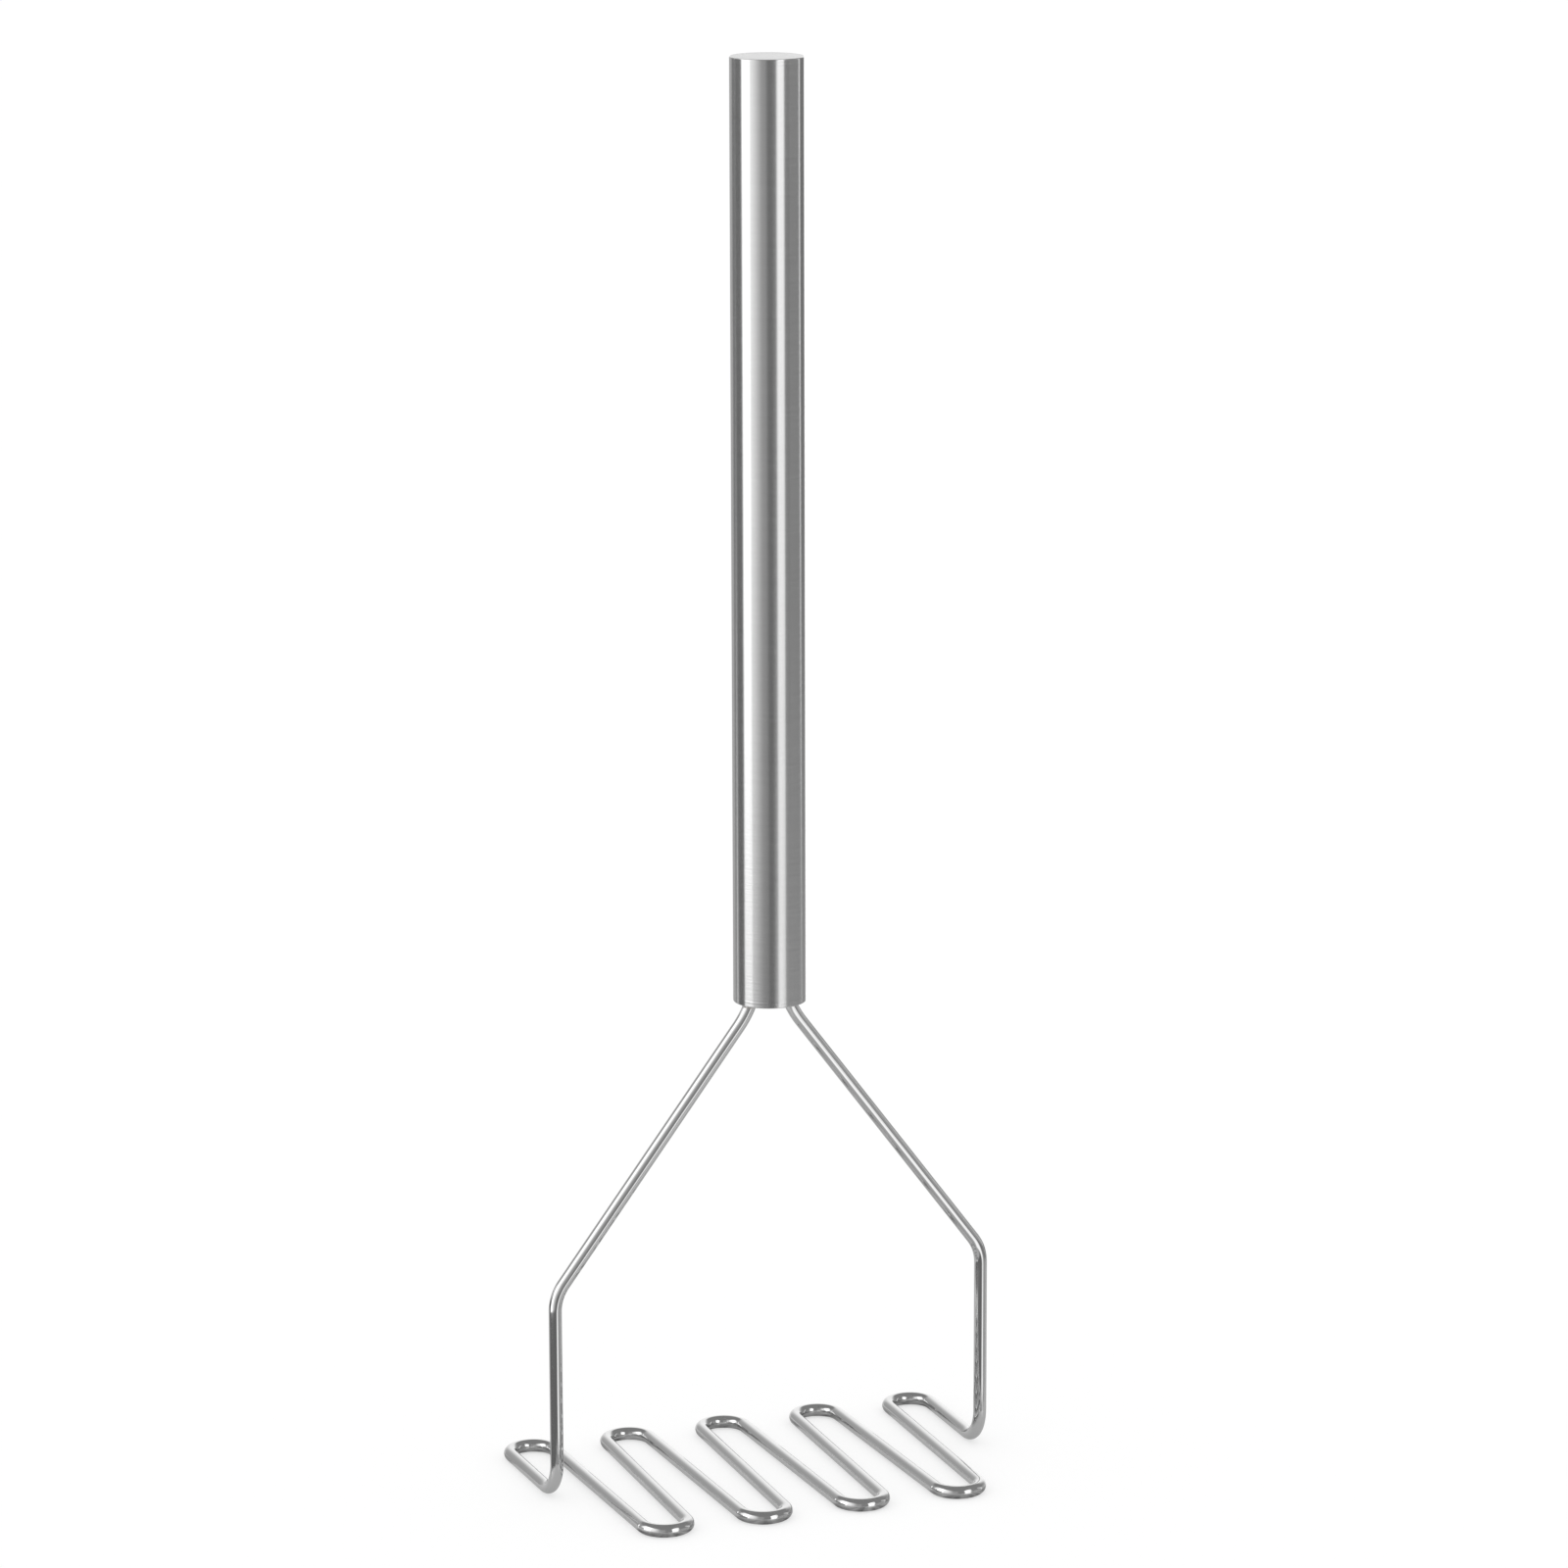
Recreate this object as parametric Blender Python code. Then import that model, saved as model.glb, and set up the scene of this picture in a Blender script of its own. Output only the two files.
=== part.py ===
"""Long-handled potato masher, all stainless steel.

A round tube handle is closed at both ends by flat discs, welded on and ground flush.
One continuous wire makes the rest: its two ends are welded into the lower disc, its legs
spread to the width of the head, drop to the bottom, and the wire between them is bent
into a flat zig-zag grid of open loops.

Frame: metres, +Z up, the grid lies on z = 0 and is centred on the origin, the row of
loops runs along X, and the legs and the handle stand in one plane parallel to XZ.
"""

import math

import bmesh
import bpy
from mathutils import Quaternion, Vector

# ---- driving dimensions, metres -------------------------------------------------------
OVERALL_HEIGHT = 0.600

HANDLE_DIAMETER = 0.0304
HANDLE_WALL = 0.0012
HANDLE_BOTTOM = 0.208          # height of the handle's lower end
CAP_THICKNESS = 0.0020
CAP_EDGE = 0.0002              # broken edge around a disc's outer face
WELD_BEVEL = 0.0009            # 45 degree weld bevel on the tube ends and on the discs

WIRE_DIAMETER = 0.0055
LEG_SPACING = 0.1914           # between the two vertical legs
KNEE_HEIGHT = 0.0898           # where a vertical leg meets its diagonal
KNEE_RADIUS = 0.0187
MOUTH_SPACING = 0.0108         # between the two wire ends inside the handle
MOUTH_HEIGHT = 0.209           # where a diagonal meets its upright end
MOUTH_RADIUS = 0.042
LEG_INSERT = 0.022             # how far the wire ends stand inside the handle
FOOT_RADIUS = 0.0154

BACK_LOOPS = 5
LOOP_PITCH = 0.0435            # between neighbouring loops on the same side
LOOP_RADIUS = 0.0096           # of the wire's centreline
BACK_REACH = 0.0573            # from the plane of the legs to the back loops' centres
FRONT_REACH = 0.0474           # from the plane of the legs to the front loops' centres

LEG_WELD_HEIGHT = 0.0022
LEG_WELD_WIDTH = 0.0021

GAP = 0.0003                   # clearance between neighbouring solids

# ---- fineness of the facets -----------------------------------------------------------
WIRE_SIDES = 12
BEND_STEP = math.radians(13)   # turn of the wire between two rings
ROUND_SIDES = 64
WELD_SIDES = 24

# ---- derived sizes --------------------------------------------------------------------
WIRE_RADIUS = WIRE_DIAMETER / 2
HANDLE_RADIUS = HANDLE_DIAMETER / 2
LEG_Y = (FRONT_REACH - BACK_REACH) / 2
HANDLE_AXIS = Vector((0, LEG_Y, 0))
TUBE_LOW = HANDLE_BOTTOM + CAP_THICKNESS + GAP
TUBE_HIGH = OVERALL_HEIGHT - CAP_THICKNESS - GAP


# ---- the wire's centreline ------------------------------------------------------------
def arc_steps(turn):
    """Number of straight pieces in a bend that turns this far."""
    return max(3, math.ceil(abs(turn) / BEND_STEP))


def rounded_corner(before, corner, after, radius):
    """Points of the arc that rounds a corner between two straight stretches."""
    to_before = (before - corner).normalized()
    to_after = (after - corner).normalized()
    turn = math.pi - to_before.angle(to_after)
    tangent_length = radius * math.tan(turn / 2)
    start = corner + to_before * tangent_length
    bisector = (to_before + to_after).normalized()
    centre = corner + bisector * (radius / math.cos(turn / 2))
    axis = (-to_before).cross(to_after).normalized()
    steps = arc_steps(turn)
    spoke = start - centre
    return [centre + Quaternion(axis, turn * i / steps) @ spoke for i in range(steps + 1)]


def loop_centres():
    """Centres of the loops, in the order in which the wire turns around them."""
    centres = []
    first_x = -LOOP_PITCH * (BACK_LOOPS - 1) / 2
    for i in range(2 * BACK_LOOPS - 1):
        on_back = i % 2 == 0
        y = LEG_Y + (BACK_REACH if on_back else -FRONT_REACH)
        centres.append(Vector((first_x + LOOP_PITCH * i / 2, y, WIRE_RADIUS)))
    return centres


def heading(start, end):
    """Direction of end from start in the grid's plane, as an angle from +X."""
    return math.atan2(end.y - start.y, end.x - start.x)


def run_headings(feet, centres):
    """Heading of each straight run: leg to loop, loop to loop, and loop to leg."""
    first = heading(feet[0], centres[0])
    first += math.asin(LOOP_RADIUS / (centres[0] - feet[0]).length)
    headings = [first]
    for i in range(len(centres) - 1):
        here, there = centres[i], centres[i + 1]
        lean = math.asin(2 * LOOP_RADIUS / (there - here).length)
        side = 1 if i % 2 == 0 else -1
        headings.append(heading(here, there) - side * lean)
    last = heading(centres[-1], feet[1])
    last -= math.asin(LOOP_RADIUS / (feet[1] - centres[-1]).length)
    headings.append(last)
    return headings


def grid_points(feet):
    """The flat zig-zag: the wire turns clockwise around back loops, the other way in front."""
    centres = loop_centres()
    headings = run_headings(feet, centres)
    points = []
    for i, centre in enumerate(centres):
        clockwise = i % 2 == 0
        to_wire = math.pi / 2 if clockwise else -math.pi / 2
        start = headings[i] + to_wire
        turn = headings[i + 1] - headings[i]
        turn = -(-turn % math.tau) if clockwise else turn % math.tau
        steps = arc_steps(turn)
        for k in range(steps + 1):
            angle = start + turn * k / steps
            spoke = Vector((math.cos(angle), math.sin(angle), 0))
            points.append(centre + spoke * LOOP_RADIUS)
    return points


def leg_corners(side):
    """Corners of one leg, from the end inside the handle down to the foot."""
    mouth_x = side * MOUTH_SPACING / 2
    leg_x = side * LEG_SPACING / 2
    return [
        Vector((mouth_x, LEG_Y, HANDLE_BOTTOM + LEG_INSERT)),
        Vector((mouth_x, LEG_Y, MOUTH_HEIGHT)),
        Vector((leg_x, LEG_Y, KNEE_HEIGHT)),
        Vector((leg_x, LEG_Y, WIRE_RADIUS)),
    ]


def leg_points(side, run_end):
    """One leg from the handle to the foot; run_end is where the foot's first run goes."""
    corners = leg_corners(side) + [run_end]
    radii = [MOUTH_RADIUS, KNEE_RADIUS, FOOT_RADIUS]
    points = [corners[0]]
    for i, radius in enumerate(radii):
        points += rounded_corner(corners[i], corners[i + 1], corners[i + 2], radius)
    return points


def wire_centreline():
    feet = [leg_corners(-1)[-1], leg_corners(1)[-1]]
    grid = grid_points(feet)
    left = leg_points(-1, grid[0])
    right = leg_points(1, grid[-1])
    return left + grid + right[::-1]


def leg_position(side, height):
    """Point of a leg's centreline at a height inside its bend at the handle's mouth."""
    slope = leg_corners(side)[2] - leg_corners(side)[1]
    turn = math.atan2(abs(slope.x), -slope.z)
    bend_top = MOUTH_HEIGHT + MOUTH_RADIUS * math.tan(turn / 2)
    drop = bend_top - height
    spread = MOUTH_RADIUS - math.sqrt(MOUTH_RADIUS ** 2 - drop ** 2)
    return Vector((side * (MOUTH_SPACING / 2 + spread), LEG_Y, height))


def leg_lean(height):
    """Angle between a leg and the vertical at a height inside its bend at the mouth."""
    step = 0.0001
    above = leg_position(1, height + step)
    below = leg_position(1, height - step)
    return math.atan2(below.x - above.x, above.z - below.z)


# ---- mesh helpers ---------------------------------------------------------------------
def mesh_object(name, bm, material):
    """Turn a bmesh into a named, smooth-shaded object with its material."""
    bmesh.ops.recalc_face_normals(bm, faces=bm.faces)
    mesh = bpy.data.meshes.new(name)
    bm.to_mesh(mesh)
    bm.free()
    mesh.shade_smooth()
    mesh.set_sharp_from_angle(angle=math.radians(35))
    obj = bpy.data.objects.new(name, mesh)
    obj.data.materials.append(material)
    bpy.context.scene.collection.objects.link(obj)
    return obj


def bridge(bm, ring_a, ring_b):
    """Quads between two closed rings with the same number of vertices."""
    count = len(ring_a)
    for k in range(count):
        after = (k + 1) % count
        bm.faces.new((ring_a[k], ring_a[after], ring_b[after], ring_b[k]))


def section_frames(points, middle_up):
    """Side and up vectors at each point, carried without twist from the middle point."""
    last = len(points) - 1
    tangents = []
    for i in range(last + 1):
        tangent = Vector()
        if i > 0:
            tangent += (points[i] - points[i - 1]).normalized()
        if i < last:
            tangent += (points[i + 1] - points[i]).normalized()
        tangents.append(tangent.normalized())
    ups = [None] * (last + 1)
    middle = last // 2
    ups[middle] = middle_up
    order = [(i, i + 1) for i in range(middle, last)] + [(i, i - 1) for i in range(middle, 0, -1)]
    for here, there in order:
        ups[there] = tangents[here].rotation_difference(tangents[there]) @ ups[here]
    return [(tangents[i].cross(ups[i]), ups[i]) for i in range(last + 1)]


def sweep(bm, points, radius, middle_up):
    """A closed round bar along a centreline, with flats at the bar's true radius.

    A flat faces along middle_up, which is square to the bar, at the middle point.
    """
    corner_radius = radius / math.cos(math.pi / WIRE_SIDES)
    rings = []
    for point, (side, up) in zip(points, section_frames(points, middle_up)):
        ring = []
        for k in range(WIRE_SIDES):
            angle = math.tau * (k + 0.5) / WIRE_SIDES
            offset = side * math.sin(angle) + up * math.cos(angle)
            ring.append(bm.verts.new(point + offset * corner_radius))
        rings.append(ring)
    for ring_a, ring_b in zip(rings, rings[1:]):
        bridge(bm, ring_a, ring_b)
    bm.faces.new(rings[0])
    bm.faces.new(rings[-1])


def turned(profile, closed):
    """A solid turned about the handle's axis from (radius, height) points.

    A closed profile makes a ring; an open one starts and ends with a flat disc.
    """
    bm = bmesh.new()
    rings = []
    for radius, height in profile:
        ring = []
        for k in range(ROUND_SIDES):
            angle = math.tau * k / ROUND_SIDES
            spoke = Vector((radius * math.cos(angle), radius * math.sin(angle), height))
            ring.append(bm.verts.new(HANDLE_AXIS + spoke))
        rings.append(ring)
    pairs = list(zip(rings, rings[1:]))
    if closed:
        pairs.append((rings[-1], rings[0]))
    for ring_a, ring_b in pairs:
        bridge(bm, ring_a, ring_b)
    if not closed:
        bm.faces.new(rings[0])
        bm.faces.new(rings[-1])
    return bm


# ---- the pieces -----------------------------------------------------------------------
def make_handle_tube(material):
    """Tube with a weld bevel around each end's outer edge."""
    outer = HANDLE_RADIUS
    inner = HANDLE_RADIUS - HANDLE_WALL
    profile = [
        (inner, TUBE_LOW),
        (outer - WELD_BEVEL, TUBE_LOW),
        (outer, TUBE_LOW + WELD_BEVEL),
        (outer, TUBE_HIGH - WELD_BEVEL),
        (outer - WELD_BEVEL, TUBE_HIGH),
        (inner, TUBE_HIGH),
    ]
    return mesh_object("handle_tube", turned(profile, closed=True), material)


def cap_profile(outer_face, inward):
    """A disc's outline from its outer face inward; inward is +1 for up, -1 for down."""
    return [
        (HANDLE_RADIUS - CAP_EDGE, outer_face),
        (HANDLE_RADIUS, outer_face + inward * CAP_EDGE),
        (HANDLE_RADIUS, outer_face + inward * (CAP_THICKNESS - WELD_BEVEL)),
        (HANDLE_RADIUS - WELD_BEVEL, outer_face + inward * CAP_THICKNESS),
    ]


def make_top_cap(material):
    bm = turned(cap_profile(OVERALL_HEIGHT, -1), closed=False)
    return mesh_object("top_end_cap", bm, material)


def make_bottom_cap(material):
    """Lower disc, with a slanted hole for each wire end."""
    bm = turned(cap_profile(HANDLE_BOTTOM, 1), closed=False)
    cap = mesh_object("bottom_end_cap", bm, material)
    reach = 2 * CAP_THICKNESS
    middle = HANDLE_BOTTOM + CAP_THICKNESS / 2
    for side, label in ((-1, "left"), (1, "right")):
        heights = [middle + reach * (i / 3 - 1) for i in range(7)]
        points = [leg_position(side, height) for height in heights]
        cutter_bm = bmesh.new()
        sweep(cutter_bm, points, WIRE_RADIUS + 1.5 * GAP, Vector((0, 1, 0)))
        cutter = mesh_object(label + "_leg_hole_cutter", cutter_bm, material)
        cutter.hide_render = True
        cutter.display_type = "WIRE"
        hole = cap.modifiers.new(label + "_leg_hole", "BOOLEAN")
        hole.operation = "DIFFERENCE"
        hole.solver = "EXACT"
        hole.object = cutter
    return cap


def make_cap_weld(name, joint_height, material):
    """Weld around a disc's joint with the tube, ground flush with the handle.

    It fills the V between the two weld bevels; joint_height is the middle of the joint.
    """
    clear = GAP * math.sqrt(2)
    half_outer = WELD_BEVEL + GAP / 2 - clear
    root_half = 0.0001
    root_radius = HANDLE_RADIUS - (half_outer - root_half)
    profile = [
        (HANDLE_RADIUS, joint_height - half_outer),
        (HANDLE_RADIUS, joint_height + half_outer),
        (root_radius, joint_height + root_half),
        (root_radius, joint_height - root_half),
    ]
    return mesh_object(name, turned(profile, closed=True), material)


def make_leg_weld(name, side, material):
    """Fillet weld between one leg and the underside of the lower disc."""
    top = HANDLE_BOTTOM - GAP
    inner = WIRE_RADIUS / math.cos(math.pi / WIRE_SIDES) + GAP
    foot_width = 0.0003
    waist = (0.35, 0.45)       # share of the weld's width and height at its hollow flank
    profile = [
        (inner, top),
        (inner + LEG_WELD_WIDTH, top),
        (inner + LEG_WELD_WIDTH * waist[0], top - LEG_WELD_HEIGHT * waist[1]),
        (inner + foot_width, top - LEG_WELD_HEIGHT),
        (inner, top - LEG_WELD_HEIGHT),
        (inner, top - LEG_WELD_HEIGHT / 2),
    ]
    bm = bmesh.new()
    rings = []
    for radius, height in profile:
        centre = leg_position(side, height)
        stretch = 1 / math.cos(leg_lean(height))
        ring = []
        for k in range(WELD_SIDES):
            angle = math.tau * k / WELD_SIDES
            offset = Vector((radius * stretch * math.cos(angle), radius * math.sin(angle), 0))
            ring.append(bm.verts.new(centre + offset))
        rings.append(ring)
    for ring_a, ring_b in zip(rings, rings[1:] + rings[:1]):
        bridge(bm, ring_a, ring_b)
    return mesh_object(name, bm, material)


def make_masher_wire(material):
    """Legs and grid: one continuous bent wire, with a flat under the whole grid."""
    bm = bmesh.new()
    sweep(bm, wire_centreline(), WIRE_RADIUS, Vector((0, 0, 1)))
    return mesh_object("masher_wire", bm, material)


# ---- materials ------------------------------------------------------------------------
def steel(name, grey, roughness):
    material = bpy.data.materials.new(name)
    material.use_nodes = True
    shader = material.node_tree.nodes["Principled BSDF"]
    shader.inputs["Base Color"].default_value = (grey, grey, grey, 1)
    shader.inputs["Metallic"].default_value = 1
    shader.inputs["Roughness"].default_value = roughness
    return material


def main():
    for obj in list(bpy.data.objects):
        bpy.data.objects.remove(obj, do_unlink=True)
    satin = steel("satin_steel", 0.60, 0.30)
    ground = steel("ground_steel", 0.66, 0.38)
    polished = steel("polished_steel", 0.62, 0.16)
    weld = steel("weld_steel", 0.52, 0.35)

    make_handle_tube(satin)
    make_top_cap(ground)
    make_bottom_cap(ground)
    make_cap_weld("top_cap_weld", OVERALL_HEIGHT - CAP_THICKNESS - GAP / 2, ground)
    make_cap_weld("bottom_cap_weld", HANDLE_BOTTOM + CAP_THICKNESS + GAP / 2, ground)
    make_masher_wire(polished)
    make_leg_weld("left_leg_weld", -1, weld)
    make_leg_weld("right_leg_weld", 1, weld)


main()
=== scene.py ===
"""Looks of the long-handled potato masher: finished meshes, steel finishes and studio.

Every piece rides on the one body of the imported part. The tube, the discs and their seams
are turned about the handle's axis, the fillet welds are built up in rings around the legs,
and the wire is swept along the same centreline as the part.
"""

import math

import bmesh
import bpy
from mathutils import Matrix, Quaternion, Vector


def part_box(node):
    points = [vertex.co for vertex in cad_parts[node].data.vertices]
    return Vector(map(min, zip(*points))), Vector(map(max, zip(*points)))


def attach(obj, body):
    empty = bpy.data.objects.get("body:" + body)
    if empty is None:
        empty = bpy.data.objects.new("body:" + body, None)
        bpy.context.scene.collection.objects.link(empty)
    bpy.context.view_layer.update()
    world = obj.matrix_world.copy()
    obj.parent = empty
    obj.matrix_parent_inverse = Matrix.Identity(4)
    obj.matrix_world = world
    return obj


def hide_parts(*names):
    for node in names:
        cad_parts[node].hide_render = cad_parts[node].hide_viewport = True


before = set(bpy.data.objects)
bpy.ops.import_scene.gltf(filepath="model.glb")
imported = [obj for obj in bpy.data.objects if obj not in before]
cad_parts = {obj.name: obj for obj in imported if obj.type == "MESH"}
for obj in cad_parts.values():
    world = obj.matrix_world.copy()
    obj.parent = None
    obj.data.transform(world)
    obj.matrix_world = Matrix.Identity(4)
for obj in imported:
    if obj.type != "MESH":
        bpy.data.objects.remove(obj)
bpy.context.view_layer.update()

BODY = "root"

# ---- sizes read from the frame, metres --------------------------------------------------
TUBE_LOW, TUBE_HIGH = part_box("handle_tube")
WIRE_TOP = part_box("masher_wire")[1].z
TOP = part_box("top_end_cap")[1].z
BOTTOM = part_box("bottom_end_cap")[0].z
HANDLE_RADIUS = (TUBE_HIGH.x - TUBE_LOW.x) / 2
HANDLE_AXIS = Vector(((TUBE_HIGH.x + TUBE_LOW.x) / 2, (TUBE_HIGH.y + TUBE_LOW.y) / 2, 0))
LEG_Y = HANDLE_AXIS.y
CAP_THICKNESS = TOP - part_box("top_end_cap")[0].z

# ---- sizes that the frame's boxes don't give, metres ------------------------------------
HANDLE_WALL = 0.0012
EDGE_RADIUS = 0.00035          # rounded edge around the two discs
EDGE_GUARD = EDGE_RADIUS * 1.3  # depth of the ring of points that keeps that edge tight
SEAM_HALF = 0.00045            # half the height of a ground weld seam
SEAM_PROUD = 0.000008          # how far a ground seam still stands out of the tube

WIRE_RADIUS = 0.00275
LEG_SPACING = 0.1914
KNEE_HEIGHT = 0.0898
KNEE_RADIUS = 0.0187
MOUTH_SPACING = 0.0108
MOUTH_HEIGHT = 0.209
MOUTH_RADIUS = 0.042
FOOT_RADIUS = 0.0154
BACK_LOOPS = 5
LOOP_PITCH = 0.0435
LOOP_RADIUS = 0.0096
BACK_REACH = 0.0573
FRONT_REACH = 0.0474

LEG_WELD_HEIGHT = 0.0024
LEG_WELD_WIDTH = 0.0022
LEG_WELD_RIM = 0.00015         # how far the foot of a fillet stands off the wire
RIPPLES = 14                   # around one fillet
RIPPLE_DEPTH = 0.00012

# ---- fineness ---------------------------------------------------------------------------
WIRE_SIDES = 40
BEND_STEP = math.radians(3)
FEWEST_BEND_STEPS = 4
ROUND_SIDES = 192
EDGE_STEPS = 5
WELD_SIDES = 96
WELD_LEVELS = 10
SPAN_LENGTH = 0.004            # longest stretch of straight wire between two rings
SHARP_ANGLE = math.radians(35)  # an edge that turns more than this is shaded as a crease
LEVEL_FACE = 0.99              # a face whose normal is at least this upright is level

# ---- camera -----------------------------------------------------------------------------
CAMERA_AZIMUTH = -20.87        # degrees round from the front, to the left
CAMERA_DISTANCE = 2.4689       # level distance from the handle's axis
CAMERA_HEIGHT = 0.8539
CAMERA_HEADING = 21.013        # degrees right of +Y that the lens points
CAMERA_PITCH = 12.646          # degrees below the horizon
CAMERA_ROLL = -0.15
CAMERA_LENS = 140.74           # millimetres, as is the sensor
CAMERA_SENSOR = 36
CAMERA_RANGE = (0.05, 100)

# ---- floor and light --------------------------------------------------------------------
FLOOR_HALF = 30
BOARD_X, BOARD_X_FADES = (-0.11, 0.4), (0.03, 0.1)
BOARD_Y, BOARD_Y_FADES = (-0.065, 0.4), (0.035, 0.1)
SHADE_DEPTH = 0.018            # how far the painted shadow at the bends reaches outwards
SHADE_FADES = (0.006, 0.004)
WALL_LEVEL = 0.45              # what the steel mirrors where no card hangs
WHITE_LEVEL = 1.02             # light on the floor, and what is seen behind it


# ---- the wire's centreline --------------------------------------------------------------
def arc_steps(turn):
    return max(FEWEST_BEND_STEPS, math.ceil(abs(turn) / BEND_STEP))


def rounded_corner(before, corner, after, radius):
    """Points of the arc that rounds a corner between two straight stretches."""
    to_before = (before - corner).normalized()
    to_after = (after - corner).normalized()
    turn = math.pi - to_before.angle(to_after)
    start = corner + to_before * (radius * math.tan(turn / 2))
    centre = corner + (to_before + to_after).normalized() * (radius / math.cos(turn / 2))
    axis = (-to_before).cross(to_after).normalized()
    steps = arc_steps(turn)
    spoke = start - centre
    return [centre + Quaternion(axis, turn * i / steps) @ spoke for i in range(steps + 1)]


def loop_centres():
    """Centres of the loops, in the order in which the wire turns around them."""
    centres = []
    first_x = -LOOP_PITCH * (BACK_LOOPS - 1) / 2
    for i in range(2 * BACK_LOOPS - 1):
        y = LEG_Y + (BACK_REACH if i % 2 == 0 else -FRONT_REACH)
        centres.append(Vector((first_x + LOOP_PITCH * i / 2, y, WIRE_RADIUS)))
    return centres


def heading(start, end):
    return math.atan2(end.y - start.y, end.x - start.x)


def run_headings(feet, centres):
    """Heading of each straight run: leg to loop, loop to loop, and loop to leg."""
    first = heading(feet[0], centres[0])
    headings = [first + math.asin(LOOP_RADIUS / (centres[0] - feet[0]).length)]
    for i in range(len(centres) - 1):
        here, there = centres[i], centres[i + 1]
        lean = math.asin(2 * LOOP_RADIUS / (there - here).length)
        side = 1 if i % 2 == 0 else -1
        headings.append(heading(here, there) - side * lean)
    last = heading(centres[-1], feet[1])
    headings.append(last - math.asin(LOOP_RADIUS / (feet[1] - centres[-1]).length))
    return headings


def grid_points(feet):
    """The flat zig-zag: the wire turns clockwise around back loops, the other way in front."""
    centres = loop_centres()
    headings = run_headings(feet, centres)
    points = []
    for i, centre in enumerate(centres):
        clockwise = i % 2 == 0
        start = headings[i] + (math.pi / 2 if clockwise else -math.pi / 2)
        turn = headings[i + 1] - headings[i]
        turn = -(-turn % math.tau) if clockwise else turn % math.tau
        steps = arc_steps(turn)
        for k in range(steps + 1):
            angle = start + turn * k / steps
            points.append(centre + Vector((math.cos(angle), math.sin(angle), 0)) * LOOP_RADIUS)
    return points


def leg_corners(side):
    """Corners of one leg, from the end inside the handle down to the foot."""
    mouth_x = side * MOUTH_SPACING / 2
    leg_x = side * LEG_SPACING / 2
    return [
        Vector((mouth_x, LEG_Y, WIRE_TOP)),
        Vector((mouth_x, LEG_Y, MOUTH_HEIGHT)),
        Vector((leg_x, LEG_Y, KNEE_HEIGHT)),
        Vector((leg_x, LEG_Y, WIRE_RADIUS)),
    ]


def leg_points(side, run_end):
    corners = leg_corners(side) + [run_end]
    points = [corners[0]]
    for i, radius in enumerate((MOUTH_RADIUS, KNEE_RADIUS, FOOT_RADIUS)):
        points += rounded_corner(corners[i], corners[i + 1], corners[i + 2], radius)
    return points


def with_even_spans(points):
    """The same line with points added so that no straight stretch is a long one."""
    dense = [points[0]]
    for here, there in zip(points, points[1:]):
        length = (there - here).length
        pieces = max(1, math.ceil(length / SPAN_LENGTH))
        dense += [here.lerp(there, i / pieces) for i in range(1, pieces + 1)]
    return dense


def wire_centreline():
    feet = [leg_corners(-1)[-1], leg_corners(1)[-1]]
    grid = grid_points(feet)
    line = leg_points(-1, grid[0]) + grid + leg_points(1, grid[-1])[::-1]
    return with_even_spans(line)


def leg_position(side, height):
    """Point of a leg's centreline at a height inside its bend at the handle's mouth."""
    slope = leg_corners(side)[2] - leg_corners(side)[1]
    turn = math.atan2(abs(slope.x), -slope.z)
    drop = MOUTH_HEIGHT + MOUTH_RADIUS * math.tan(turn / 2) - height
    spread = MOUTH_RADIUS - math.sqrt(MOUTH_RADIUS ** 2 - drop ** 2)
    return Vector((side * (MOUTH_SPACING / 2 + spread), LEG_Y, height))


# ---- mesh helpers -----------------------------------------------------------------------
def piece(name, bm, material, slot, *replaced):
    """Finish a bmesh as a piece of the object that stands for CAD nodes."""
    bmesh.ops.recalc_face_normals(bm, faces=bm.faces)
    mesh = bpy.data.meshes.new(name)
    bm.to_mesh(mesh)
    bm.free()
    mesh.shade_smooth()
    mesh.set_sharp_from_angle(angle=SHARP_ANGLE)
    mesh.materials.append(material)
    obj = bpy.data.objects.new(name, mesh)
    bpy.context.scene.collection.objects.link(obj)
    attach(obj, BODY)
    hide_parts(*replaced)
    return obj


def bridge(bm, ring_a, ring_b):
    count = len(ring_a)
    for k in range(count):
        after = (k + 1) % count
        bm.faces.new((ring_a[k], ring_a[after], ring_b[after], ring_b[k]))


def turned(profile, closed):
    """A solid turned about the handle's axis from (radius, height) points.

    A closed profile makes a ring; an open one starts and ends with a flat disc.
    """
    bm = bmesh.new()
    rings = []
    for radius, height in profile:
        ring = []
        for k in range(ROUND_SIDES):
            angle = math.tau * k / ROUND_SIDES
            spoke = Vector((radius * math.cos(angle), radius * math.sin(angle), height))
            ring.append(bm.verts.new(HANDLE_AXIS + spoke))
        rings.append(ring)
    for ring_a, ring_b in zip(rings, rings[1:]):
        bridge(bm, ring_a, ring_b)
    if closed:
        bridge(bm, rings[-1], rings[0])
    else:
        bm.faces.new(rings[0])
        bm.faces.new(rings[-1])
    return bm


def section_frames(points):
    """Side and up vectors along the wire, carried without twist from the flat grid."""
    last = len(points) - 1
    tangents = []
    for i in range(last + 1):
        before, after = points[max(i - 1, 0)], points[min(i + 1, last)]
        tangents.append((after - before).normalized())
    ups = [None] * (last + 1)
    middle = last // 2
    ups[middle] = Vector((0, 0, 1))
    order = [(i, i + 1) for i in range(middle, last)] + [(i, i - 1) for i in range(middle, 0, -1)]
    for here, there in order:
        ups[there] = tangents[here].rotation_difference(tangents[there]) @ ups[here]
    return [(tangents[i].cross(ups[i]), ups[i]) for i in range(last + 1)]


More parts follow.
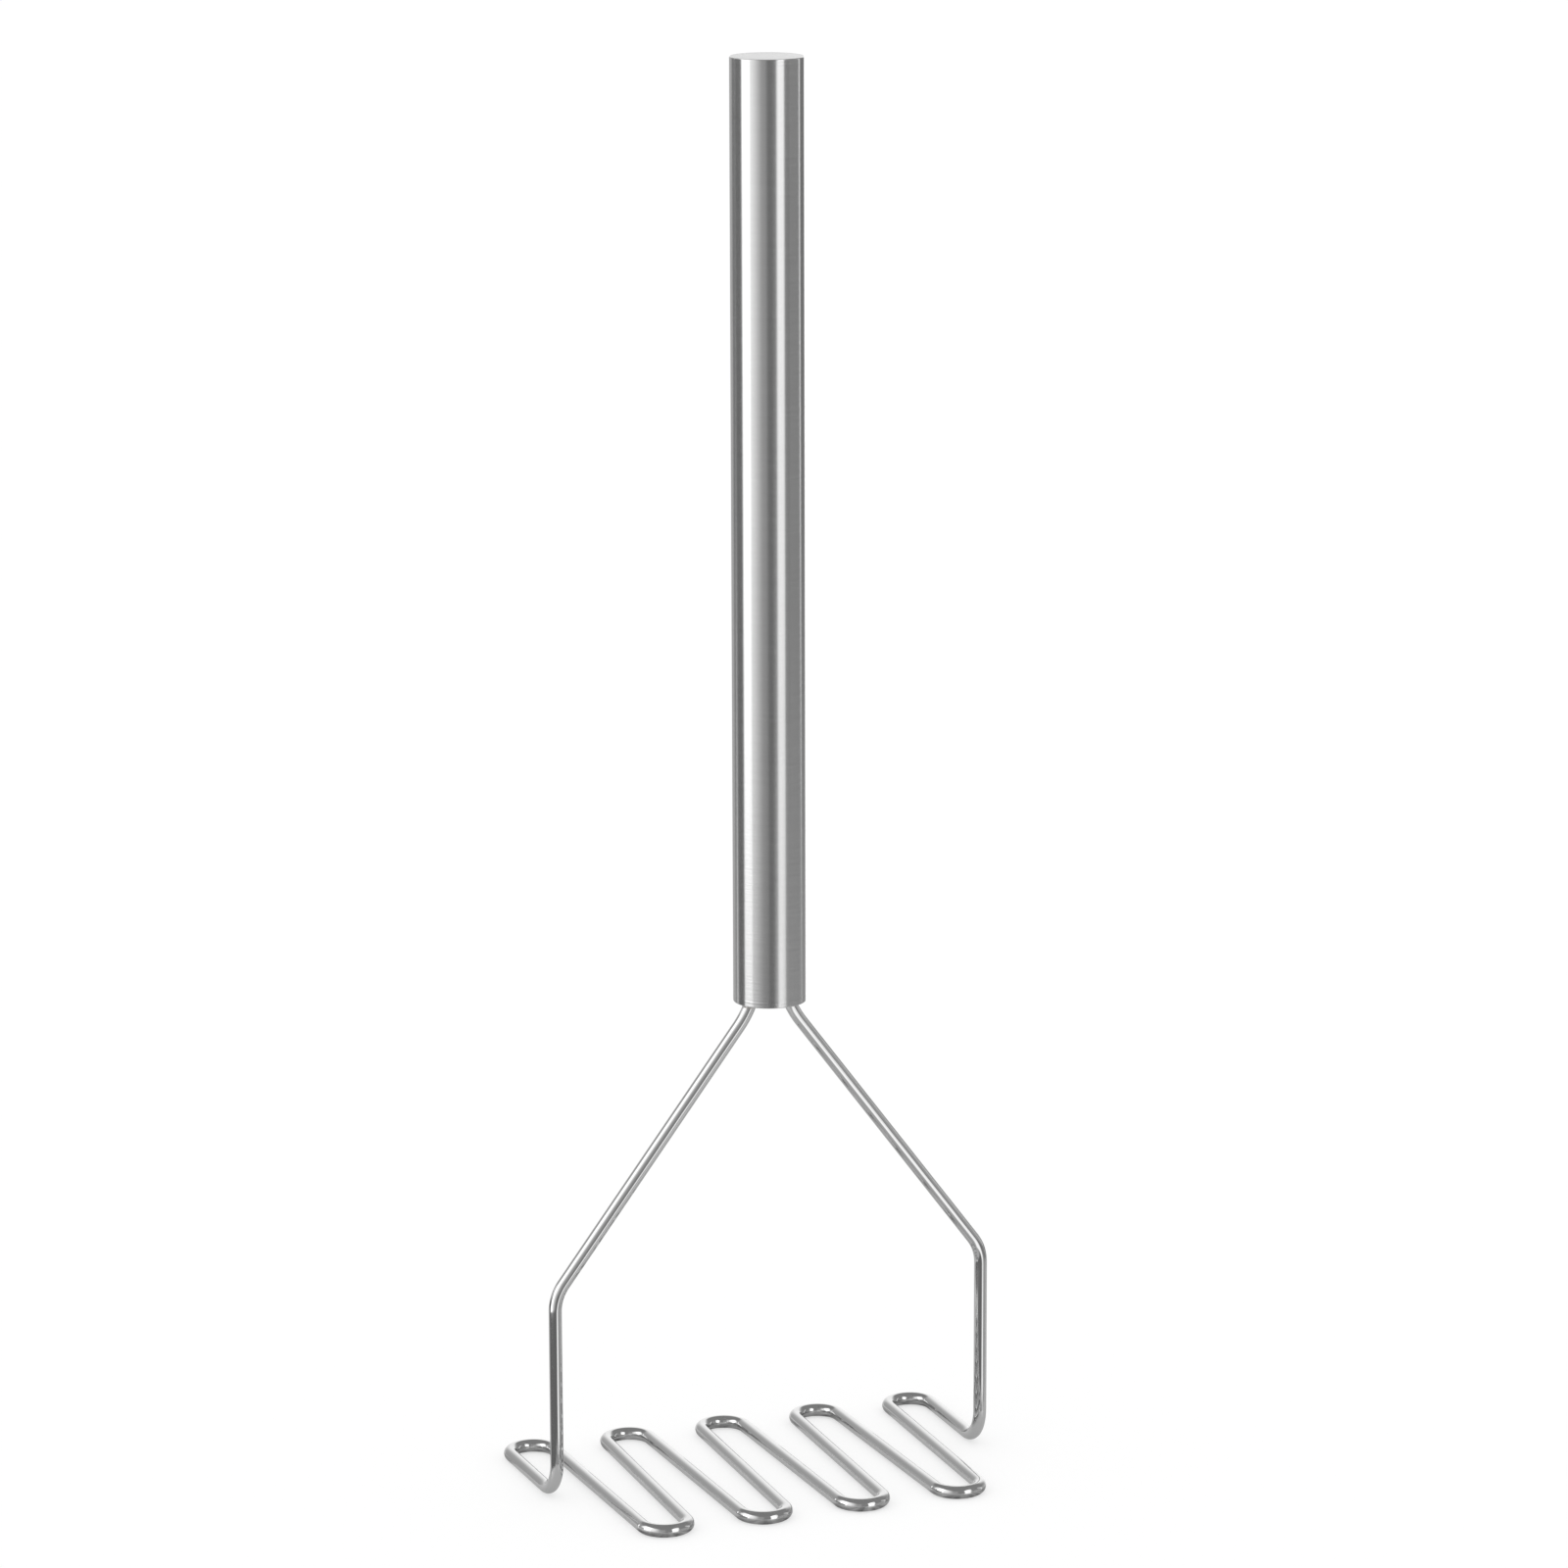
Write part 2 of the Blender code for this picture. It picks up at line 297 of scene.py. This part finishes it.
def swept_wire(points):
    """The round wire as a bmesh.

    Its vertices keep, as the attribute straight_bar, where they were on the bar before it
    was bent: across it in x and y, and along it in z, all in metres.
    """
    bm = bmesh.new()
    bar = bm.verts.layers.float_vector.new("straight_bar")
    along = 0.0
    rings = []
    for i, (point, (side, up)) in enumerate(zip(points, section_frames(points))):
        if i > 0:
            along += (point - points[i - 1]).length
        ring = []
        for k in range(WIRE_SIDES):
            angle = math.tau * k / WIRE_SIDES
            across, above = WIRE_RADIUS * math.sin(angle), WIRE_RADIUS * math.cos(angle)
            vert = bm.verts.new(point + side * across + up * above)
            vert[bar] = Vector((across, above, along))
            ring.append(vert)
        rings.append(ring)
    for ring_a, ring_b in zip(rings, rings[1:]):
        bridge(bm, ring_a, ring_b)
    bm.faces.new(rings[0])
    bm.faces.new(rings[-1])
    return bm


# ---- node graphs ------------------------------------------------------------------------
class Graph:
    """Builds a node tree. Its methods take numbers or sockets and give back a socket."""

    def __init__(self, tree):
        self.tree = tree

    def node(self, kind, **settings):
        node = self.tree.nodes.new(kind)
        for name, value in settings.items():
            setattr(node, name, value)
        return node

    def feed(self, socket, value):
        if isinstance(value, bpy.types.NodeSocket):
            self.tree.links.new(value, socket)
        else:
            socket.default_value = value

    def math(self, operation, *values):
        node = self.node("ShaderNodeMath", operation=operation)
        for socket, value in zip(node.inputs, values):
            self.feed(socket, value)
        return node.outputs["Value"]

    def fade(self, value, low, high, at_low, at_high):
        """Goes smoothly from at_low to at_high while value goes from low to high."""
        node = self.node("ShaderNodeMapRange", interpolation_type="SMOOTHSTEP")
        for name, number in zip(
            ("Value", "From Min", "From Max", "To Min", "To Max"),
            (value, low, high, at_low, at_high),
        ):
            self.feed(node.inputs[name], number)
        return node.outputs["Result"]

    def band(self, value, low, high, below, above):
        """One while value is between low and high, and fades to nought within below and above."""
        rise = self.fade(value, low - below, low, 0, 1)
        fall = self.fade(value, high, high + above, 1, 0)
        return self.math("MULTIPLY", rise, fall)

    def mix(self, share, start, end):
        node = self.node("ShaderNodeMix", data_type="FLOAT")
        for socket, value in zip(node.inputs, (share, None, start, end)):
            if value is not None:
                self.feed(socket, value)
        return node.outputs["Result"]

    def noise(self, vector, stretch, detail):
        """Noise with stretch repeats to each unit of the vector, from about 0 to 1."""
        scaled = self.node("ShaderNodeVectorMath", operation="MULTIPLY")
        self.feed(scaled.inputs[0], vector)
        scaled.inputs[1].default_value = stretch
        node = self.node("ShaderNodeTexNoise", noise_dimensions="3D")
        self.feed(node.inputs["Vector"], scaled.outputs["Vector"])
        node.inputs["Scale"].default_value = 1
        node.inputs["Detail"].default_value = detail
        return node.outputs["Fac"]

    def grey(self, value):
        node = self.node("ShaderNodeCombineColor")
        for socket in node.inputs:
            self.feed(socket, value)
        return node.outputs["Color"]

    def bump(self, height, distance):
        node = self.node("ShaderNodeBump")
        node.inputs["Distance"].default_value = distance
        self.feed(node.inputs["Height"], height)
        return node.outputs["Normal"]


# ---- materials --------------------------------------------------------------------------
def steel(name):
    """A metal to be finished: its material, its graph and its shader's inputs."""
    material = bpy.data.materials.new(name)
    material.use_nodes = True
    shader = material.node_tree.nodes["Principled BSDF"]
    shader.inputs["Metallic"].default_value = 1
    return material, Graph(material.node_tree), shader.inputs


def object_position(graph):
    return graph.node("ShaderNodeTexCoord").outputs["Object"]


def satin_steel():
    """Handle: stainless tube, satin polished on a belt, so its fine lines run around it."""
    material, graph, inputs = steel("satin_steel")
    place = object_position(graph)
    lines = graph.noise(place, (90, 90, 1300), 3)
    hair = graph.noise(place, (260, 260, 5200), 2)
    cloud = graph.noise(place, (55, 55, 16), 2)
    tone = graph.math("ADD", graph.mix(lines, -0.03, 0.03), graph.mix(cloud, 0.63, 0.67))
    graph.feed(inputs["Base Color"], graph.grey(tone))
    rough = graph.math("ADD", graph.mix(hair, -0.03, 0.03), graph.mix(lines, 0.18, 0.21))
    graph.feed(inputs["Roughness"], rough)
    # Lines that run around the tube stretch its highlights along it, a quarter turn away.
    inputs["Anisotropic"].default_value = 0.6
    inputs["Anisotropic Rotation"].default_value = 0.25
    tangent = graph.node("ShaderNodeTangent", direction_type="RADIAL", axis="Z")
    graph.feed(inputs["Tangent"], tangent.outputs["Tangent"])
    height = graph.math("ADD", graph.mix(lines, 0, 1), graph.mix(hair, 0, 0.3))
    graph.feed(inputs["Normal"], graph.bump(height, 0.000012))
    return material


def ground_steel():
    """Flat faces of the discs: ground, with a fine straight grain."""
    material, graph, inputs = steel("ground_steel")
    place = object_position(graph)
    grain = graph.noise(place, (150, 5200, 5200), 3)
    cloud = graph.noise(place, (160, 160, 160), 2)
    tone = graph.math("ADD", graph.mix(grain, -0.04, 0.04), graph.mix(cloud, 0.5, 0.55))
    graph.feed(inputs["Base Color"], graph.grey(tone))
    graph.feed(inputs["Roughness"], graph.mix(grain, 0.22, 0.34))
    graph.feed(inputs["Normal"], graph.bump(grain, 0.00001))
    return material


def polished_wire():
    """Legs and grid: drawn wire, polished, with faint lines left along it."""
    material, graph, inputs = steel("polished_wire")
    bar = graph.node("ShaderNodeAttribute", attribute_name="straight_bar").outputs["Vector"]
    drawn = graph.noise(bar, (1400, 1400, 22), 3)
    hair = graph.noise(bar, (5200, 5200, 90), 2)
    cloud = graph.noise(bar, (120, 120, 60), 2)
    tone = graph.math("ADD", graph.mix(drawn, -0.03, 0.03), graph.mix(cloud, 0.63, 0.67))
    graph.feed(inputs["Base Color"], graph.grey(tone))
    rough = graph.math("ADD", graph.mix(hair, -0.02, 0.02), graph.mix(cloud, 0.05, 0.08))
    graph.feed(inputs["Roughness"], rough)
    height = graph.math("ADD", graph.mix(drawn, 0, 1), graph.mix(hair, 0, 0.25))
    graph.feed(inputs["Normal"], graph.bump(height, 0.000008))
    return material


def weld_steel():
    """Fillet welds: duller steel with the faint warm tint of the heat."""
    material, graph, inputs = steel("weld_steel")
    place = object_position(graph)
    cloud = graph.noise(place, (700, 700, 700), 3)
    pits = graph.noise(place, (3500, 3500, 3500), 2)
    tint = graph.node("ShaderNodeMix", data_type="RGBA")
    graph.feed(tint.inputs["Factor"], cloud)
    tint.inputs["A"].default_value = (0.5, 0.475, 0.445, 1)
    tint.inputs["B"].default_value = (0.6, 0.59, 0.58, 1)
    graph.feed(inputs["Base Color"], tint.outputs["Result"])
    graph.feed(inputs["Roughness"], graph.mix(pits, 0.28, 0.45))
    graph.feed(inputs["Normal"], graph.bump(pits, 0.00002))
    return material


# ---- the pieces -------------------------------------------------------------------------
def make_handle(material):
    outer, inner = HANDLE_RADIUS, HANDLE_RADIUS - HANDLE_WALL
    low, high = TUBE_LOW.z, TUBE_HIGH.z
    profile = [(inner, low), (outer, low), (outer, high), (inner, high)]
    return piece("satin_handle", turned(profile, True), material, "satin_tube", "handle_tube")


def rounded_edge(radius, edge_height, inward):
    """Points around a disc's rounded edge, from its flat face to its side."""
    points = []
    for i in range(EDGE_STEPS + 1):
        angle = math.pi / 2 * i / EDGE_STEPS
        out = radius - EDGE_RADIUS * (1 - math.sin(angle))
        points.append((out, edge_height + inward * EDGE_RADIUS * (1 - math.cos(angle))))
    return points


def make_cap(name, face, inward, face_material, side_material, node):
    """End disc: a ground flat face, and a side polished together with the tube."""
    inner_face = face + inward * CAP_THICKNESS
    profile = rounded_edge(HANDLE_RADIUS, face, inward)
    profile += [(HANDLE_RADIUS, face + inward * EDGE_GUARD), (HANDLE_RADIUS, inner_face)]
    disc = piece(name, turned(profile, False), face_material, "ground_disc", node)
    disc.data.materials.append(side_material)
    for polygon in disc.data.polygons:
        if abs(polygon.normal.z) < LEVEL_FACE:
            polygon.material_index = 1
    return disc


def make_seam(name, low, high, material, node):
    """Ground weld seam that closes the joint between a disc and the tube."""
    middle = (low + high) / 2
    proud = HANDLE_RADIUS + SEAM_PROUD
    inner = HANDLE_RADIUS - HANDLE_WALL / 2
    profile = [
        (inner, middle - SEAM_HALF),
        (HANDLE_RADIUS, middle - SEAM_HALF),
        (proud, middle - SEAM_HALF / 2),
        (proud, middle + SEAM_HALF / 2),
        (HANDLE_RADIUS, middle + SEAM_HALF),
        (inner, middle + SEAM_HALF),
    ]
    return piece(name, turned(profile, True), material, "ground_weld", node)


def make_leg_weld(name, side, material, node):
    """Fillet weld around a leg under the lower disc, with the ripples of its passes."""
    bm = bmesh.new()
    rings = []
    for i in range(WELD_LEVELS + 1):
        share = i / WELD_LEVELS
        height = BOTTOM - LEG_WELD_HEIGHT * share
        width = LEG_WELD_WIDTH * (1 - math.sin(math.pi / 2 * share)) + LEG_WELD_RIM
        centre = leg_position(side, height)
        ring = []
        for k in range(WELD_SIDES):
            angle = math.tau * k / WELD_SIDES
            wave = RIPPLE_DEPTH * math.sin(RIPPLES * angle + 2 * share) * math.sin(math.pi * share)
            radius = WIRE_RADIUS + width + wave
            spoke = Vector((radius * math.cos(angle), radius * math.sin(angle), 0))
            ring.append(bm.verts.new(centre + spoke))
        rings.append(ring)
    for ring_a, ring_b in zip(rings, rings[1:]):
        bridge(bm, ring_a, ring_b)
    bm.faces.new(rings[0])
    bm.faces.new(rings[-1])
    return piece(name, bm, material, "fillet_weld", node)


def make_wire(material):
    bm = swept_wire(wire_centreline())
    return piece("bent_wire", bm, material, "polished_wire", "masher_wire")


# ---- studio -----------------------------------------------------------------------------
def white_floor():
    """White floor. The steel mirrors only the glossy board that the object stands on.

    Under the grid's bends and just outside them, the board is darker and streaked with
    painted shadow of the wire, which the steel mirrors.
    """
    material = bpy.data.materials.new("white_floor")
    material.use_nodes = True
    graph = Graph(material.node_tree)
    inputs = material.node_tree.nodes["Principled BSDF"].inputs
    place = object_position(graph)
    parts = graph.node("ShaderNodeSeparateXYZ")
    graph.feed(parts.inputs["Vector"], place)
    x, y = parts.outputs["X"], parts.outputs["Y"]
    board = graph.math(
        "MULTIPLY",
        graph.band(x, *BOARD_X, *BOARD_X_FADES),
        graph.band(y, *BOARD_Y, *BOARD_Y_FADES),
    )
    # Painted shadow: under and just outside the grid's bends the board's grey and glow are darker
    # and streaked.
    reach = (BACK_REACH + FRONT_REACH) / 2
    outwards = graph.math("ABSOLUTE", y)
    painted_shadow_at_bends = graph.band(outwards, reach, reach + SHADE_DEPTH, *SHADE_FADES)
    streaks = graph.noise(place, (260, 60, 1), 2)
    tone = graph.mix(painted_shadow_at_bends, 0.28, 0.2)
    glow = graph.mix(painted_shadow_at_bends, 0.3, graph.math("MAXIMUM", graph.mix(streaks, -0.2, 0.5), 0))
    mirrored = graph.node("ShaderNodeLightPath").outputs["Is Glossy Ray"]
    graph.feed(inputs["Base Color"], graph.grey(graph.mix(mirrored, 0.4, tone)))
    inputs["Emission Color"].default_value = (1, 1, 1, 1)
    graph.feed(inputs["Emission Strength"], graph.mix(mirrored, 0.6, glow))
    graph.feed(inputs["Roughness"], graph.mix(mirrored, 0.9, 0.12))
    graph.feed(inputs["Specular IOR Level"], graph.mix(mirrored, 0, 0.5))
    graph.feed(inputs["Alpha"], graph.mix(mirrored, 1, board))
    material.cycles.emission_sampling = "NONE"
    return material


def make_floor():
    bm = bmesh.new()
    corners = ((-1, -1), (1, -1), (1, 1), (-1, 1))
    bm.faces.new([bm.verts.new((x * FLOOR_HALF, y * FLOOR_HALF, 0)) for x, y in corners])
    mesh = bpy.data.meshes.new("floor")
    bm.to_mesh(mesh)
    bm.free()
    mesh.materials.append(white_floor())
    floor = bpy.data.objects.new("floor", mesh)
    bpy.context.scene.collection.objects.link(floor)


class Studio:
    """Light around the object, as bright and dark cards placed by azimuth and height.

    Azimuths are in degrees clockwise from +Y as seen from above, heights in degrees above
    the horizon. A later card covers the ones before it.
    """

    def __init__(self, graph):
        self.graph = graph
        direction = graph.node("ShaderNodeTexCoord").outputs["Generated"]
        parts = graph.node("ShaderNodeSeparateXYZ")
        graph.feed(parts.inputs["Vector"], direction)
        x, y, z = parts.outputs
        self.azimuth = graph.math("DEGREES", graph.math("ARCTAN2", x, y))
        self.height = graph.math("DEGREES", graph.math("ARCSINE", z))
        self.level = WALL_LEVEL

    def uneven(self, spacing, share):
        """Vary the light by a share from one azimuth to the next, as real walls do."""
        place = self.graph.node("ShaderNodeCombineXYZ")
        self.graph.feed(place.inputs["X"], self.azimuth)
        streaks = self.graph.noise(place.outputs["Vector"], (1 / spacing, 0, 0), 3)
        factor = self.graph.mix(streaks, 1 - 2 * share, 1 + 2 * share)
        self.level = self.graph.math("MULTIPLY", self.level, factor)

    def card(self, level, heights, fade, azimuth=0, half=180, fades=(1, 1), lean=0):
        """Cover a patch of the surroundings.

        The patch is whole between the two heights and within half of azimuth, and fades
        out below and above by fade, and to the left and right by fades. It leans to the
        right by lean degrees for each degree of height.
        """
        graph = self.graph
        low, high = heights
        below, above = fade
        share = graph.band(self.height, low, high, below, above)
        if half < 180:
            centre = graph.math("MULTIPLY_ADD", self.height, lean, azimuth)
            offset = graph.math("SUBTRACT", self.azimuth, centre)
            offset = graph.math("WRAP", offset, 180, -180)
            across = graph.band(offset, -half, half, fades[0], fades[1])
            share = graph.math("MULTIPLY", share, across)
        self.level = graph.mix(share, self.level, level)


def make_world():
    """Plain white for the floor and behind it; light and dark cards for the steel to mirror."""
    world = bpy.data.worlds.new("studio")
    bpy.context.scene.world = world
    world.use_nodes = True
    world.cycles.sampling_method = "NONE"
    graph = Graph(world.node_tree)
    studio = Studio(graph)

    # The dim ceiling, the dark foot of the walls, the wall behind, and the ground.
    studio.card(0.28, (40, 90), (14, 1))
    studio.card(0.2, (-9, -4), (9, 3))
    studio.card(0.29, (-9, -4), (9, 3), azimuth=108, half=14, fades=(10, 12))
    studio.card(0.5, (-20, 30), (8, 10), azimuth=-8, half=13, fades=(5, 30))
    studio.card(0.5, (-90, -30), (1, 8))

    # Light and dark patches of the ground.
    studio.card(0.7, (-45, -26), (8, 4), azimuth=128, half=14, fades=(10, 10))
    studio.card(0.67, (-75, -28), (10, 5), azimuth=-93, half=12, fades=(50, 16))
    studio.card(1.0, (-60, -24), (10, 4), azimuth=31, half=14, fades=(28, 18))
    studio.card(0.24, (-80, -46), (8, 8), azimuth=176, half=6, fades=(8, 8))
    studio.card(1.1, (-75, -38), (8, 8), azimuth=152, half=5, fades=(16, 8))
    studio.card(1.3, (-42, -27), (8, 4), azimuth=-72, half=4, fades=(5, 12))
    studio.card(0.3, (-80, -46), (8, 8), azimuth=105, half=10, fades=(14, 14))

    # Dark cards on the left, in front and high on the right, and a small light one behind.
    studio.card(0.17, (-24, -4), (6, 5), azimuth=-112, half=60, fades=(10, 12))
    studio.card(0.3, (0, 40), (5, 8), azimuth=180, half=14, fades=(18, 8))
    studio.card(0.42, (-12, 20), (6, 14), azimuth=-125, half=26, fades=(12, 5))
    studio.card(0.9, (-18, -14), (3, 4), azimuth=-38, half=2, fades=(3, 3))
    studio.card(0.3, (18, 60), (10, 10), azimuth=105, half=30, fades=(20, 10))

    # Lights on the left, and a short bright strip behind them.
    studio.card(1.5, (18, 40), (14, 10), azimuth=-84, half=18, fades=(45, 14))
    studio.card(1.3, (-12, 20), (6, 14), azimuth=-98, half=3, fades=(50, 5))
    studio.card(2.0, (-14, 40), (3, 10), azimuth=-89, half=12, fades=(6, 5))
    studio.card(2.4, (2, 16), (4, 4), azimuth=-42, half=1, fades=(2, 2))

    # Lights on the right: a thin leaning strip, two wide ones behind and three in front.
    studio.card(1.4, (-8, 24), (8, 6), azimuth=87.5, half=1, fades=(3, 3), lean=0.63)
    studio.card(1.4, (-20, 14), (6, 16), azimuth=31, half=5, fades=(16, 14))
    studio.card(1.2, (4, 26), (10, 14), azimuth=30, half=6, fades=(42, 25))
    studio.card(1.3, (-12, 40), (6, 10), azimuth=157, half=10, fades=(3, 6), lean=-0.25)
    studio.card(2.2, (5, 32), (8, 8), azimuth=158, half=8, fades=(3, 6))
    studio.card(1.4, (-34, -18), (6, 3), azimuth=134, half=7, fades=(4, 7), lean=-1.55)

    studio.uneven(4, 0.12)
    mirrored = graph.node("ShaderNodeLightPath").outputs["Is Glossy Ray"]
    level = graph.mix(mirrored, WHITE_LEVEL, studio.level)
    graph.feed(world.node_tree.nodes["Background"].inputs["Color"], graph.grey(level))


def make_camera():
    data = bpy.data.cameras.new("camera")
    data.lens = CAMERA_LENS
    data.sensor_width = CAMERA_SENSOR
    camera = bpy.data.objects.new("camera", data)
    bpy.context.scene.collection.objects.link(camera)
    azimuth = math.radians(CAMERA_AZIMUTH)
    spot = Vector((math.sin(azimuth), -math.cos(azimuth), 0)) * CAMERA_DISTANCE
    camera.location = HANDLE_AXIS + spot + Vector((0, 0, CAMERA_HEIGHT))
    right = math.radians(CAMERA_HEADING)
    down = math.radians(CAMERA_PITCH)
    level = math.cos(down)
    aim = Vector((math.sin(right) * level, math.cos(right) * level, -math.sin(down)))
    turn = aim.to_track_quat("-Z", "Y")
    camera.rotation_mode = "QUATERNION"
    camera.rotation_quaternion = turn @ Quaternion((0, 0, 1), math.radians(CAMERA_ROLL))
    data.clip_start, data.clip_end = CAMERA_RANGE
    bpy.context.scene.camera = camera


satin, ground, polished, weld = satin_steel(), ground_steel(), polished_wire(), weld_steel()
make_handle(satin)
make_cap("top_disc", TOP, -1, ground, satin, "top_end_cap")
make_cap("bottom_disc", BOTTOM, 1, ground, satin, "bottom_end_cap")
make_seam("top_seam", TUBE_HIGH.z, TOP - CAP_THICKNESS, satin, "top_cap_weld")
make_seam("bottom_seam", BOTTOM + CAP_THICKNESS, TUBE_LOW.z, satin, "bottom_cap_weld")
make_leg_weld("left_fillet", -1, weld, "left_leg_weld")
make_leg_weld("right_fillet", 1, weld, "right_leg_weld")
make_wire(polished)
make_floor()
make_world()
make_camera()
bpy.context.scene.view_settings.view_transform = "Standard"
